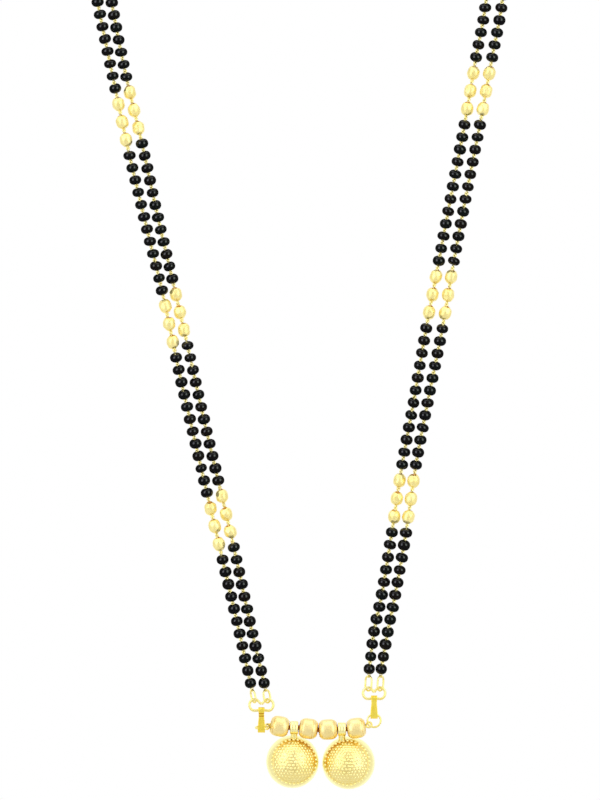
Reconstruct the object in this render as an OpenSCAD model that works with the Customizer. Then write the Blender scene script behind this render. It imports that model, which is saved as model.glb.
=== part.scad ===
// Double-strand mangalsutra: two long strands of black and gold beads on each side, joined
// below to a short bar with four drum beads and two domed vatis that swing on it.
// It hangs round a neck: the origin is the middle of the nape, +Z is up and -Y is the front.

/* [Pendant bar] */
// Diameter of the bar's wire
bar_wire_d = 1.2; // [1:0.05:1.3]
// Slope of the bar in each drum bead, from left to right, in degrees
drum_slopes = [-10, -8, 3, 8]; // [-12:1:12]
// Diameter of a drum bead
drum_d = 5.1; // [4.6:0.1:5.4]
// Diameter of a drum bead's flat faces
drum_face_d = 3.3; // [2.4:0.1:4]
// Width of a drum bead along the bar
drum_w = 4.5; // [3.8:0.1:4.7]
// Radial clearance of a drum bead's bore round the bar
drum_clearance = 0.2; // [0.15:0.05:0.4]
// Smallest gap between neighbours on the bar
bar_gap = 0.12; // [0.1:0.02:0.4]
// Mean radius of the eye at each end of the bar
eye_r = 0.66; // [0.64:0.02:0.8]
// Diameter of the wire of the eyes
eye_wire_d = 0.5; // [0.4:0.02:0.52]

/* [Vatis] */
// Diameter of a vati across its rim
vati_d = 13.2; // [11:0.1:14]
// Wall of a vati
vati_wall = 0.7; // [0.5:0.05:1]
// Diameter of the rolled lip of a vati
lip_d = 0.9; // [0.75:0.05:1.2]
// Distance of each vati's middle below the bar, left and right
vati_drops = [8.85, 8.75]; // [8.4:0.05:9.4]
// Distance of a vati's middle behind the bar, which brings its weight below the bar
vati_back = 2.95; // [2.4:0.05:3.4]
// Shift of each vati along the bar, left and right
vati_shifts = [-0.4, 1.7]; // [-1.9:0.1:1.9]
// Turn of each vati's face towards the other, in degrees
vati_turn = 5.5; // [0:0.5:10]
// Upward tilt of each vati's face, in degrees
vati_tilt = 5.5; // [0:0.5:10]
// Number of grains in the ring round the dome
grain_count = 34; // [24:1:36]
// Diameter of a grain
grain_d = 0.72; // [0.5:0.02:0.8]
// Angle of the ring of grains from the top of the dome, in degrees
grain_angle = 57; // [50:1:62]
// Outer diameter of a bail
bail_d = 3.3; // [2.8:0.1:3.6]
// Width of a bail along the bar
bail_w = 2; // [1.8:0.1:2.4]
// Depth of the grooves between a bail's three ribs
bail_groove = 0.1; // [0.05:0.05:0.3]
// Radial clearance of a bail's bore round the bar
bail_clearance = 0.06; // [0.03:0.01:0.09]
// Diameter of the soldered neck between bail and dome
neck_d = 1.6; // [1:0.1:1.8]

/* [Rings and hooks] */
// Diameter of the wire of the end rings and strand rings
ring_wire_d = 0.5; // [0.4:0.02:0.6]
// Outer diameter of an end ring
end_ring_d = 3.8; // [3.6:0.1:5]
// Distance of the left hook from the middle of its end ring, away from the bar
hook_shift = 0.2; // [0:0.1:0.4]
// Clearance between linked pieces
link_clearance = 0.14; // [0.1:0.02:0.2]
// Thickness of a hook's strip
strip_t = 0.3; // [0.2:0.02:0.4]
// Width of a hook's strip at its top
strip_top_w = 1.5; // [1:0.1:1.6]
// Width of a hook's strip at its narrowest
strip_waist_w = 1.15; // [0.9:0.05:1.4]
// Width of a hook's strip at its foot
strip_foot_w = 1.8; // [1.2:0.1:2]
// Distance between the two wires that a hook joins, on the left and on the right
strip_lengths = [4.6, 4.1]; // [3.5:0.1:6]
// Diameter of the wire of a double ring
double_wire_d = 0.66; // [0.5:0.02:0.7]
// Mean radius of each lobe across, and half its mean height
lobe_w = 1.27; // [1.1:0.01:1.5]
lobe_h = 1.42; // [1.3:0.02:1.8]
// Half the distance between the middles of the lobes, on the left and on the right
lobe_offsets = [1.7, 1.5]; // [1.4:0.05:1.8]
// Height of the waist's upper wire above the middle of a double ring, and of its lower wire below
waist_top = 0.3; // [0.2:0.05:0.5]
waist_low = 1.3; // [1.2:0.02:1.4]
// Mean half width of a strand ring
strand_ring_w = 1.2; // [1:0.05:1.3]
// Mean half height of the strand rings on the left and on the right
strand_ring_h = [1.6, 1.85]; // [1.5:0.05:2.4]
// Outward lean of the strand rings on the left and on the right, in degrees
strand_leans = [12, 3]; // [0:1:15]
// Outward lean of the hook on the left and on the right, in degrees
hook_leans = [0, 0]; // [0:1:8]
// Turn of each strand ring about its length, from the left outer to the right outer
strand_ring_turns = [64, 52, 52, 52]; // [40:1:90]

/* [Strands] */
// Diameter of a black bead
bead_d = 3; // [2.4:0.1:3]
// Length of a black bead along its strand
bead_l = 2.4; // [1.8:0.1:2.7]
// Distance between neighbouring black beads
bead_pitch = 3.15; // [2.8:0.05:4]
// Black beads in a full run
run_beads = 12; // [6:1:20]
// Black beads in the lowest run of the left outer strand
short_run_beads = 11; // [6:1:20]
// Black runs in half a strand, of which the last reaches the nape
run_count = 6; // [2:1:6]
// Distance between a black bead and the gold bead next to it
join_pitch = 4; // [3.4:0.05:4.6]
// Gold beads in a group
group_beads = 3; // [1:1:4]
// Diameter of a gold bead
gold_d = 3; // [2.4:0.1:3]
// Length of a gold bead
gold_l = 3.6; // [2.8:0.1:3.8]
// Distance between neighbouring gold beads
gold_pitch = 4.57; // [4.2:0.01:6]
// Diameter of the wire thread of a strand
thread_d = 0.6; // [0.4:0.02:0.7]
// Radial clearance of a gold bead's bore round the thread
gold_clearance = 0.15; // [0.1:0.05:0.3]
// Mean radius of the eye that ends a strand
strand_eye_r = 0.56; // [0.55:0.01:0.7]
// Diameter of the wire of a strand's end eye
strand_eye_wire_d = 0.36; // [0.3:0.02:0.4]

/* [Hidden] */

GOLD = [0.93, 0.80, 0.42];
BLACK = [0.09, 0.09, 0.10];
ROUND = 48;
FINE = 24;

// Middle of the bar, between the second and the third drum bead
bar_middle = [5.05, -80, -206.5];
// The bar bends inside a drum bead, this far from its face
bend_inset = 0.4;
// The wire is a little thicker where it bends
bend_swell = 0.06;
// Bare wire beyond the left and the right drum bead, up to the middle of the eye's wire, and
// the length over which the wire narrows to the eye's
end_bare = [0.7, 0.48];
end_taper = 0.7;
// Slope of the right eye, which rises towards its end ring, and of the left eye, which hangs
right_eye_slope = 40;
left_eye_slope = -60;
// The left end ring is level and stands out to the front of the bar by this angle
left_ring_yaw = 45;
// Tilt of the level end ring on the left, its front down
left_ring_tilt = 5;
// Distance from the top of a strand ring to the middle of the lowest bead
bead_rise = 1.75;
// Ribs on a bail
rib_count = 3;
// Sides of meshed wires, of the strands and of the gold beads, and steps round a meshed ring
WIRE_SIDES = 6;
STRAND_SIDES = 8;
GOLD_SIDES = 10;
RING_STEP = 20;
// Each gold bead is turned by this much more than the one before, so that its cuts vary
gold_turn = 37;
// Largest distance between the rings of a strand's tube, in bead diameters
tube_step = 3.1;
// Length over which the tube narrows to the thread
tube_taper = 0.3;
// Steps of the curve between two points of a route
CURVE_STEPS = 6;

// Points that each half strand passes, from above its lowest bead up to the nape
outer_left_points = [
    [-15.3, -81.5, -179], [-18.8, -81, -164], [-22.8, -80.5, -147], [-25.8, -80.5, -134],
    [-29.8, -80.5, -116.5], [-33.8, -80.5, -97.5], [-37.8, -80.5, -81], [-42.3, -80.5, -62],
    [-45.8, -80.5, -45.5], [-49.4, -80.5, -28], [-51.5, -79.5, -17], [-53.5, -73.5, -8],
    [-54.5, -62.5, -3], [-53, -46, -1.5], [-47.5, -29.5, -1.5], [-36.5, -14, -1.5],
    [-20, -3.5, -1.5]];
inner_left_points = [
    [-12, -81, -179.5], [-16, -80, -161], [-20, -79.5, -144], [-23.5, -79.5, -129],
    [-27.5, -79.5, -111], [-31.5, -79.5, -93.5], [-35, -79.5, -78.5], [-39, -79.5, -60],
    [-43, -79.5, -43], [-46, -79.5, -28], [-48, -78.5, -16], [-50, -73.5, -6],
    [-50.5, -62, 0], [-49, -46, 2], [-44, -30, 2], [-33.5, -15.5, 2], [-18.5, -5, 2]];
inner_right_points = [
    [19, -79.5, -182], [21, -79.5, -172.5], [23.5, -79.5, -157], [26, -79.5, -140.5],
    [29, -79.5, -124], [32, -79.5, -106.5], [35, -79.5, -90.5], [38, -79.5, -74.5],
    [41.5, -79.5, -56], [44.5, -79.5, -38.5], [46.5, -79.5, -28], [48, -78.5, -17],
    [50, -73.5, -6.5], [50.5, -62, 0], [49, -46, 2], [43.5, -30, 2], [33.5, -15.5, 2],
    [18.5, -5, 2]];
outer_right_points = [
    [22.5, -80.5, -181.5], [24.5, -80.5, -171.5], [27, -80.5, -157], [29.5, -80.5, -140],
    [32.5, -80.5, -124], [36, -80.5, -106.5], [39, -80.5, -89], [42, -80.5, -73],
    [45.5, -80.5, -55], [48.5, -80.5, -38.5], [50.5, -80.5, -28], [52, -79.5, -17.5],
    [54, -73.5, -8], [54.5, -62.5, -3], [53, -46, -1.5], [47.5, -29.5, -1.5],
    [36.5, -14, -1.5], [20, -3.5, -1.5]];
// Where each strand crosses the nape
outer_nape = [0, 0.7, -1.8];
inner_nape = [0, -0.7, 1.8];

// A horizontal direction (side is -1 for left and 1 for right) raised by an angle
function sloped(side, angle) = [side * cos(angle), 0, sin(angle)];
function unit(v) = v / norm(v);

// The bar's bends and the places of what is on it. Side 0 is left and side 1 is right.
function side_sign(side) = side == 0 ? -1 : 1;
function inner_way(side) = sloped(side_sign(side), side_sign(side) * drum_slopes[side == 0 ? 1 : 2]);
function outer_way(side) = sloped(side_sign(side), side_sign(side) * drum_slopes[side == 0 ? 0 : 3]);
// A drum bead's flat face leans over its neighbour where the bar slopes
drum_face_r = drum_face_d / 2;
function gap_beside(slope) = bar_gap + drum_face_r * abs(sin(slope));
middle_gap = bar_gap + drum_face_r * (abs(sin(drum_slopes[1])) + abs(sin(drum_slopes[2])));
function inner_gap(side) = gap_beside(drum_slopes[side == 0 ? 1 : 2]);
function outer_gap(side) = gap_beside(drum_slopes[side == 0 ? 0 : 3]);
function inner_drum(side) = bar_middle + (middle_gap / 2 + drum_w / 2) * inner_way(side);
function inner_bend(side) = bar_middle + (middle_gap / 2 + drum_w - bend_inset) * inner_way(side);
function bail_place(side) = inner_bend(side)
    + [side_sign(side) * (bend_inset + inner_gap(side) + bail_w / 2), 0, 0];
function outer_bend(side) = bail_place(side)
    + [side_sign(side) * (bail_w / 2 + outer_gap(side) + bend_inset), 0, 0];
function outer_drum(side) = outer_bend(side) + (drum_w / 2 - bend_inset) * outer_way(side);
function tip_length(side) = drum_w - bend_inset + end_bare[side];
function bar_end(side) = outer_bend(side) + tip_length(side) * outer_way(side);

// The eyes and the end rings
end_ring_r = (end_ring_d - ring_wire_d) / 2;
left_eye = bar_end(0) + eye_r * [-cos(left_eye_slope) * cos(left_ring_yaw),
    -cos(left_eye_slope) * sin(left_ring_yaw), sin(left_eye_slope)];
right_eye = bar_end(1) + eye_r * sloped(1, right_eye_slope);
left_ring_middle = left_eye - end_ring_r * [cos(left_ring_yaw),
    sin(left_ring_yaw) * cos(left_ring_tilt), sin(left_ring_yaw) * sin(left_ring_tilt)];
right_ring_middle = right_eye + end_ring_r * sloped(1, right_eye_slope);

// Where each hook holds its end ring, and the middles of the double rings. The end ring bends
// inside the hook's foot by foot_bend, and leaves it at an angle.
foot_leave = asin((strip_foot_w / 2 + hook_shift) / end_ring_r);
foot_bend = end_ring_r - end_ring_r * cos(foot_leave);
hook_ring_r = end_ring_r - foot_bend / 2;
left_hook_foot = left_ring_middle - [hook_shift, 0, 0]
    - hook_ring_r * [0, cos(left_ring_tilt), sin(left_ring_tilt)];
right_hook_foot = right_ring_middle + [0, 0, hook_ring_r];
function hook_foot(side) = side == 0 ? left_hook_foot : right_hook_foot;
function hook_way(side) = [side_sign(side) * sin(hook_leans[side]), 0, cos(hook_leans[side])];
function double_middle(side) = hook_foot(side) + (strip_lengths[side] + waist_low) * hook_way(side);

// The strand rings hang the double ring by the tops of its lobes. Strands count from the
// left outer, 0, to the right outer, 3.
function strand_side(strand) = strand < 2 ? 0 : 1;
function lobe_sign(strand) = strand % 2 == 0 ? -1 : 1;
function strand_way(strand) = let (side = strand_side(strand))
    [side_sign(side) * sin(strand_leans[side]), 0, cos(strand_leans[side])];
strand_ring_drop = double_wire_d / 2 + ring_wire_d / 2 + link_clearance
    + double_wire_d * double_wire_d / strand_ring_w / 5;
function strand_ring_foot(strand) = let (side = strand_side(strand))
    double_middle(side) + lobe_sign(strand) * lobe_offsets[side] * [cos(hook_leans[side]), 0,
        -side_sign(side) * sin(hook_leans[side])]
    + (lobe_h - strand_ring_drop) * hook_way(side);
function strand_ring_middle(strand) = strand_ring_foot(strand)
    + strand_ring_h[strand_side(strand)] * strand_way(strand);
function strand_eye(strand) = strand_ring_foot(strand)
    + 2 * strand_ring_h[strand_side(strand)] * strand_way(strand);
function lowest_bead(strand) = strand_eye(strand) + bead_rise * strand_way(strand);

// A smooth curve through a strand's points, from its lowest bead to past the nape
strand_points = [outer_left_points, inner_left_points, inner_right_points, outer_right_points];
nape_points = [outer_nape, inner_nape, inner_nape, outer_nape];
function mirrored(strand) = 3 - strand;
function last_of(list) = list[len(list) - 1];
function route(strand) = concat([lowest_bead(strand)], strand_points[strand],
    [nape_points[strand], last_of(strand_points[mirrored(strand)])]);
function curve_point(a, b, c, d, t) = 0.5 * ((2 * b) + (c - a) * t
    + (2 * a - 5 * b + 4 * c - d) * t * t + (3 * b - a - 3 * c + d) * t * t * t);
function smooth(p) = [for (i = [0 : len(p) - 3])
    let (before = i == 0 ? 2 * p[0] - p[1] : p[i - 1])
    for (k = [0 : CURVE_STEPS - (i == len(p) - 3 ? 0 : 1)])
    curve_point(before, p[i], p[i + 1], p[i + 2], k / CURVE_STEPS)];
function lengths(p, i = 0, sum = 0) = i == len(p) - 1 ? [sum]
    : concat([sum], lengths(p, i + 1, sum + norm(p[i + 1] - p[i])));
curves = [for (strand = [0 : 3]) smooth(route(strand))];
curve_lengths = [for (strand = [0 : 3]) lengths(curves[strand])];
function half_length(strand) = last_of(curve_lengths[strand]);
function at_length(strand, s) = [for (axis = [0 : 2])
    lookup(s, [for (i = [0 : len(curves[strand]) - 1])
        [curve_lengths[strand][i], curves[strand][i][axis]]])];
function way_at(strand, s) = let (e = 0.5, high = min(s + e, half_length(strand)))
    unit(at_length(strand, high) - at_length(strand, max(high - 2 * e, 0)));

// The pattern of beads along half a strand, measured from its lowest bead
function full_run(strand, run) = run == 0 && strand == 0 ? short_run_beads : run_beads;
function group_length() = 2 * join_pitch + (group_beads - 1) * gold_pitch;
function run_start(strand, run) = run == 0 ? 0
    : run_start(strand, run - 1) + (full_run(strand, run - 1) - 1) * bead_pitch + group_length();
function run_end(strand, run) = run == run_count - 1 ? half_length(strand)
    : run_start(strand, run) + (full_run(strand, run) - 1) * bead_pitch + bead_l / 2;
function gold_places(strand) = [for (run = [0 : run_count - 2]) for (i = [0 : group_beads - 1])
    let (s = run_start(strand, run + 1) - join_pitch - i * gold_pitch)
    if (s + gold_l / 2 < half_length(strand)) s];

// Rings of a strand's tube: full along a black run, thin through the gold beads. Each is a
// length along the strand, a step from there straight along its way, and a radius.
function run_rings(strand, run) = let (
    from = run_start(strand, run) - bead_l / 2,
    to = min(run_end(strand, run), half_length(strand)),
    steps = max(1, ceil((to - from) / (tube_step * bead_d))))
    from >= to ? [] : concat(
        run == 0 ? [] : [[from - tube_taper, 0, thread_d / 2]],
        [for (i = [0 : steps]) let (s = from + (to - from) * i / steps)
            [max(s, 0), min(s, 0), bead_d / 2]],
        to == half_length(strand) ? [] : [[to + tube_taper, 0, thread_d / 2]]);
function thread_rings(strand, run) = [for (i = [0 : group_beads - 1]) for (end = [-1, 1])
    [run_end(strand, run) - bead_l / 2 + join_pitch + i * gold_pitch,
        end * (gold_l / 2 + thread_d / 4), thread_d / 2]];
function tube_rings(strand) = [for (run = [0 : run_count - 1])
    for (ring = concat(run_rings(strand, run),
        run == run_count - 1 ? [] : thread_rings(strand, run)))
    if (ring[0] + ring[1] <= half_length(strand)) ring];
function ring_place(strand, ring) = at_length(strand, ring[0]) + ring[1] * way_at(strand, ring[0]);

// A wire or tube swept along a path, as a mesh. Each ring's first corner points to its ref.
module swept(path, radii, refs, sides, closed = false) {
    n = len(path);
    function way(i) = closed ? unit(path[(i + 1) % n] - path[(i + n - 1) % n])
        : unit(path[min(i + 1, n - 1)] - path[max(i - 1, 0)]);
    points = [for (i = [0 : n - 1])
        let (t = way(i), u = unit(refs[i] - (refs[i] * t) * t), v = cross(t, u))
        for (j = [0 : sides - 1])
        path[i] + radii[i] * (cos(360 * j / sides) * u + sin(360 * j / sides) * v)];
    walls = [for (i = [0 : closed ? n - 1 : n - 2]) for (j = [0 : sides - 1])
        let (a = i * sides, b = ((i + 1) % n) * sides, k = (j + 1) % sides)
        [a + j, b + j, b + k, a + k]];
    caps = closed ? [] : [[for (j = [0 : sides - 1]) j],
        [for (j = [sides - 1 : -1 : 0]) (n - 1) * sides + j]];
    polyhedron(points, concat(walls, caps), convexity = 8);
}

// A closed ring of wire in the XZ plane
module wire_loop(path, wire_d) {
    swept(path, [for (p = path) wire_d / 2], [for (p = path) [0, 1, 0]], WIRE_SIDES, true);
}

// A round ring of wire in the XY plane
module round_ring(mean_r, wire_d) {
    rotate_extrude($fn = ROUND) translate([mean_r, 0]) circle(d = wire_d, $fn = FINE);
}

// A rod between two points
module rod(from, to, d) {
    way = unit(to - from);
    translate(from)
        rotate([0, acos(way.z), atan2(way.y, way.x)])
            cylinder(d = d, h = norm(to - from), $fn = ROUND);
}

// Moves a child from the Z axis onto a way in the XZ plane
module along_way(place, way) {
    translate(place) rotate([0, atan2(way.x, way.z), 0]) children();
}

// A bail: a short tube round the bar with three ribs
module bail() {
    rib_pitch = bail_w / rib_count;
    rib_d = rib_pitch * 0.88;
    rotate([0, 90, 0]) {
        cylinder(d = bail_d - 2 * bail_groove, h = bail_w, center = true, $fn = ROUND);
        for (i = [0 : rib_count - 1])
            translate([0, 0, (i - (rib_count - 1) / 2) * rib_pitch])
                rotate_extrude($fn = ROUND)
                    translate([(bail_d - rib_d) / 2, 0]) circle(d = rib_d, $fn = FINE);
    }
}

// The domed bowl of a vati about its own middle, the dome towards -Y and open towards +Y
module vati_bowl() {
    dome_r = vati_d / 2;
    grain_r = dome_r * sin(grain_angle);
    difference() {
        sphere(r = dome_r, $fn = ROUND);
        sphere(r = dome_r - vati_wall, $fn = ROUND);
        translate([-vati_d, 0, -vati_d]) cube(2 * vati_d);
    }
    rotate([90, 0, 0])
        rotate_extrude($fn = ROUND)
            translate([dome_r - lip_d / 2, 0]) circle(d = lip_d, $fn = FINE);
    for (i = [0 : grain_count - 1])
        rotate([0, (i + 0.5) * 360 / grain_count, 0])
            translate([grain_r, -dome_r * cos(grain_angle), 0]) sphere(d = grain_d, $fn = FINE);
}

// A vati with its bail round the bar
module vati(side) {
    drop = vati_drops[side];
    middle = [vati_shifts[side], vati_back, -drop];
    neck_end = vati_d / 2 - vati_wall / 2;
    neck_way = unit([0, vati_back, -drop]);
    reach = norm([vati_back, drop]) - sqrt(neck_end ^ 2 - vati_shifts[side] ^ 2);
    color(GOLD)
        translate(bail_place(side))
            difference() {
                union() {
                    bail();
                    rod((bail_d / 2 - neck_d / 3) * neck_way, reach * neck_way, neck_d);
                    translate(middle)
                        rotate([-vati_tilt, 0, -side_sign(side) * vati_turn]) vati_bowl();
                }
                rotate([0, 90, 0])
                    cylinder(d = bar_wire_d + 2 * bail_clearance, h = 2 * bail_w,
                        center = true, $fn = ROUND);
            }
}

// The rounded bend between two straight lengths of the bar
module bar_bend(place) {
    along_way(place, [1, 0, 0]) sphere(d = bar_wire_d + 2 * bend_swell, $fn = ROUND);
}

// The bar's wire from its last bend to an eye, where it is thinner
module bar_tip(tip_l) {
    rotate_extrude($fn = ROUND)
        polygon([[0, 0], [bar_wire_d / 2, 0], [bar_wire_d / 2, tip_l - end_taper],
            [0.42 * eye_wire_d, tip_l], [0, tip_l]]);
}

// The bar with its bends and end eyes
module pendant_wire() {
    color(GOLD) {
        rod(inner_bend(0), bar_middle, bar_wire_d);
        rod(bar_middle, inner_bend(1), bar_wire_d);
        bar_bend(bar_middle);
        for (side = [0, 1]) {
            rod(inner_bend(side), outer_bend(side), bar_wire_d);
            along_way(outer_bend(side), outer_way(side)) bar_tip(tip_length(side));
            bar_bend(inner_bend(side));
            bar_bend(outer_bend(side));
        }
        translate(left_eye)
            rotate([90, 0, left_ring_yaw]) round_ring(eye_r, eye_wire_d);
        translate(right_eye)
            rotate([0, -right_eye_slope, 0]) round_ring(eye_r, eye_wire_d);
    }
}

// A drum bead: a ball turned down to a belt, cut flat at both ends and drilled
module drum_bead(place, way) {
    color(GOLD)
        along_way(place, way)
            difference() {
                intersection() {
                    sphere(d = norm([drum_w, drum_face_d]), $fn = ROUND);
                    cylinder(d = drum_d, h = drum_w, center = true, $fn = ROUND);
                }
                cylinder(d = bar_wire_d + 2 * drum_clearance, h = 2 * drum_w, center = true,
                    $fn = ROUND);
            }
}

module end_ring_left() {
    color(GOLD)
        translate(left_ring_middle)
            rotate([left_ring_tilt, 0, 0]) round_ring(end_ring_r, ring_wire_d);
}

module end_ring_right() {
    color(GOLD)
        translate(right_ring_middle) rotate([90, 0, 0]) round_ring(end_ring_r, ring_wire_d);
}

// Outline of a folded strip in its own plane, wider by a thickness when it is the outer one
function strip_outline(length, thickness) = let (
    foot_r = ring_wire_d / 2 / cos(foot_leave) + foot_bend / 2 + link_clearance + thickness,
    top_r = double_wire_d / 2 + link_clearance + thickness)
    concat([for (a = [180 : 15 : 360]) foot_r * [cos(a), sin(a)]],
        [for (a = [0 : 15 : 180]) [0, length] + top_r * [cos(a), sin(a)]]);

// Half the strip's shape from its foot to its top, as half widths and heights
function strip_shape(length) = [[strip_foot_w / 2, -2], [strip_foot_w / 2, 0.1],
    [strip_waist_w / 2 + 0.15, length * 0.3], [strip_waist_w / 2, length * 0.65],
    [strip_waist_w / 2, length * 0.8], [strip_top_w / 2, length],
    [strip_top_w / 2, length + 2]];

// A flat strip folded round the end ring below and the lower wire of the double ring above
module strip_hook(side) {
    length = strip_lengths[side];
    half = strip_shape(length);
    color(GOLD)
        translate(hook_foot(side))
            rotate([0, side_sign(side) * hook_leans[side], 0])
                intersection() {
                    rotate([90, 0, 90])
                        linear_extrude(2 * strip_foot_w, center = true)
                            difference() {
                                polygon(strip_outline(length, strip_t));
                                polygon(strip_outline(length, 0));
                            }
                    rotate([90, 0, 0])
                        linear_extrude(8 * double_wire_d, center = true)
                            polygon(concat(half, [for (i = [len(half) - 1 : -1 : 0])
                                [-half[i].x, half[i].y]]));
                }
}

// A ring of wire with two lobes: its upper wire dips between them, its lower wire is nearly flat
function half_double(offset) = concat([[0.4 * offset, 0, -waist_low]],
    [for (a = [-100 : RING_STEP : 140]) [offset + lobe_w * cos(a), 0, lobe_h * sin(a)]]);
module double_ring(side) {
    half = half_double(lobe_offsets[side]);
    path = concat(half, [[0, 0, waist_top]],
        [for (i = [len(half) - 1 : -1 : 0]) [-half[i].x, 0, half[i].z]], [[0, 0, -waist_low]]);
    color(GOLD)
        translate(double_middle(side))
            rotate([0, side_sign(side) * hook_leans[side], 0]) wire_loop(path, double_wire_d);
}

// The long ring at the end of a strand, round at both ends
module strand_ring(strand) {
    side = strand_side(strand);
    straight = strand_ring_h[side] - strand_ring_w;
    color(GOLD)
        translate(strand_ring_middle(strand))
            rotate([0, side_sign(side) * strand_leans[side], 0])
                rotate([0, 0, lobe_sign(strand) * strand_ring_turns[strand]])
                    wire_loop([for (end = [1, -1]) for (a = [0 : RING_STEP : 180])
                        [end * strand_ring_w * cos(a), 0,
                            end * (straight + strand_ring_w * sin(a))]], ring_wire_d);
}

// The black runs of half a strand on their thread, with the eye that ends it
module strand(strand) {
    side = strand_side(strand);
    rings = tube_rings(strand);
    path = [for (ring = rings) ring_place(strand, ring)];
    color(BLACK) {
        swept(path, [for (ring = rings) ring[2]], [for (p = path) [p.x, p.y + 40, 0]], STRAND_SIDES);
        translate(strand_eye(strand))
            rotate([0, side_sign(side) * strand_leans[side], 0])
                rotate([90, 0, lobe_sign(strand) * strand_ring_turns[strand] - 90])
                    swept([for (a = [0 : RING_STEP : 359])
                        strand_eye_r * [cos(a), sin(a), 0]],
                        [for (a = [0 : RING_STEP : 359]) strand_eye_wire_d / 2],
                        [for (a = [0 : RING_STEP : 359]) [0, 0, 1]], WIRE_SIDES, true);
    }
}

// One diamond-cut gold bead round the Z axis, drilled for the thread
module gold_bead() {
    bore_r = thread_d / 2 + gold_clearance;
    rotate_extrude($fn = GOLD_SIDES)
        polygon([[bore_r, -gold_l / 2], [0.26 * gold_d, -gold_l / 2],
            [0.44 * gold_d, -0.26 * gold_l], [gold_d / 2, 0], [0.44 * gold_d, 0.26 * gold_l],
            [0.26 * gold_d, gold_l / 2], [bore_r, gold_l / 2]]);
}

module gold_beads(strand) {
    places = gold_places(strand);
    color(GOLD)
        for (i = [0 : len(places) - 1]) {
            way = way_at(strand, places[i]);
            translate(at_length(strand, places[i]))
                rotate([0, acos(way.z), atan2(way.y, way.x)])
                    rotate([0, 0, i * gold_turn]) gold_bead();
        }
}

vati(0);  // vati_left
vati(1);  // vati_right
pendant_wire();
drum_bead(outer_drum(0), outer_way(0));  // drum_bead_1
drum_bead(inner_drum(0), inner_way(0));  // drum_bead_2
drum_bead(inner_drum(1), inner_way(1));  // drum_bead_3
drum_bead(outer_drum(1), outer_way(1));  // drum_bead_4
end_ring_left();
end_ring_right();
strip_hook(0);  // strip_hook_left
strip_hook(1);  // strip_hook_right
double_ring(0);  // double_ring_left
double_ring(1);  // double_ring_right
strand_ring(0);  // strand_ring_outer_left
strand_ring(1);  // strand_ring_inner_left
strand_ring(2);  // strand_ring_inner_right
strand_ring(3);  // strand_ring_outer_right
strand(0);  // strand_outer_left
strand(1);  // strand_inner_left
strand(2);  // strand_inner_right
strand(3);  // strand_outer_right
gold_beads(0);  // gold_beads_outer_left
gold_beads(1);  // gold_beads_inner_left
gold_beads(2);  // gold_beads_inner_right
gold_beads(3);  // gold_beads_outer_right
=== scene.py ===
import math

import bpy
import numpy as np
from mathutils import Matrix, Vector


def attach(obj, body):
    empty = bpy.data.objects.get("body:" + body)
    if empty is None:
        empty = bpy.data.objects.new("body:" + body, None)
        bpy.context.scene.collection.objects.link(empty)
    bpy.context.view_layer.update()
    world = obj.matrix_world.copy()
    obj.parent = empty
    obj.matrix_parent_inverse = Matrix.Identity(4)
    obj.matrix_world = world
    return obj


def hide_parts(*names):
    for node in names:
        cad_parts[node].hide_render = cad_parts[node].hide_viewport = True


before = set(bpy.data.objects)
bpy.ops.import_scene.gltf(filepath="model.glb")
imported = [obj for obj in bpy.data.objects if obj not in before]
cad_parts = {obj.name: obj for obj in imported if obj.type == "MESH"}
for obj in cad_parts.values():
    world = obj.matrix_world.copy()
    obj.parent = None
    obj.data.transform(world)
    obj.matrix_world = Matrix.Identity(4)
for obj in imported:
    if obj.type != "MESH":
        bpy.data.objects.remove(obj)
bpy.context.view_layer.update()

MM = 0.001
rng = np.random.default_rng(7)


def vec(*v):
    return np.array(v, float)


def unit(v):
    v = np.asarray(v, float)
    return v / np.linalg.norm(v)


def sind(a):
    return math.sin(math.radians(a))


def cosd(a):
    return math.cos(math.radians(a))


# ---------------------------------------------------------------- measures
# Millimetres and degrees. A side is 0 for left and 1 for right. Lists of two go left,
# right; lists of four go outer left, inner left, inner right, outer right.

SIDE_NAMES = ["left", "right"]
NAMES = ["outer_left", "inner_left", "inner_right", "outer_right"]

# the bar with its drum beads and eyes
BAR_D, BAR_GAP = 1.2, 0.12
SLOPES = [-10, -8, 3, 8]
DRUM_D, DRUM_W, DRUM_FACE = 5.1, 4.5, 3.3
EYE_R, EYE_D = 0.66, 0.5
MIDDLE = vec(5.05, -80, -206.5)
BEND, END_BARE, TAPER = 0.4, [0.7, 0.48], 0.7
RIGHT_EYE, LEFT_EYE, YAW, LEVEL = 40, -60, 45, 5

# the vatis; inward is where, round a dome, the other vati is
VATI_R, WALL, LIP_D = 6.6, 0.7, 0.9
DROPS, BACK, SHIFTS = [8.85, 8.75], 2.95, [-0.4, 1.7]
VATI_TURN = VATI_TILT = 5.5
GRAINS, GRAIN_D, GRAIN_ANGLE = 34, 0.72, 57
INWARD = [50, 130]
BAIL_D, BAIL_W, NECK_D = 3.3, 2.0, 1.6

# rings and strips
RING_D, END_RING_D, HOOK_SHIFT, CLEAR = 0.5, 3.8, 0.2, 0.14
STRIP_T, STRIP_TOP, STRIP_WAIST, STRIP_FOOT = 0.3, 1.55, 1.35, 1.8
STRIP_L = [4.6, 4.1]
DOUBLE_D, LOBE_W, LOBE_H, LOBE_X = 0.66, 1.27, 1.42, [1.7, 1.5]
WAIST_TOP, WAIST_LOW = 0.3, 1.3
SRING_W, SRING_H, LEANS, TURNS = 1.2, [1.6, 1.85], [12, 3], [64, 52, 52, 52]

# the strands
BEAD_D, BEAD_L, PITCH = 3.0, 2.4, 3.15
RUN, SHORT_RUN, RUNS, JOIN = 12, 11, 6, 4.0
GROUP, GOLD_D, GOLD_L, GOLD_PITCH = 3, 3.0, 3.6, 4.57
BEAD_RISE = 1.75

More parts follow.
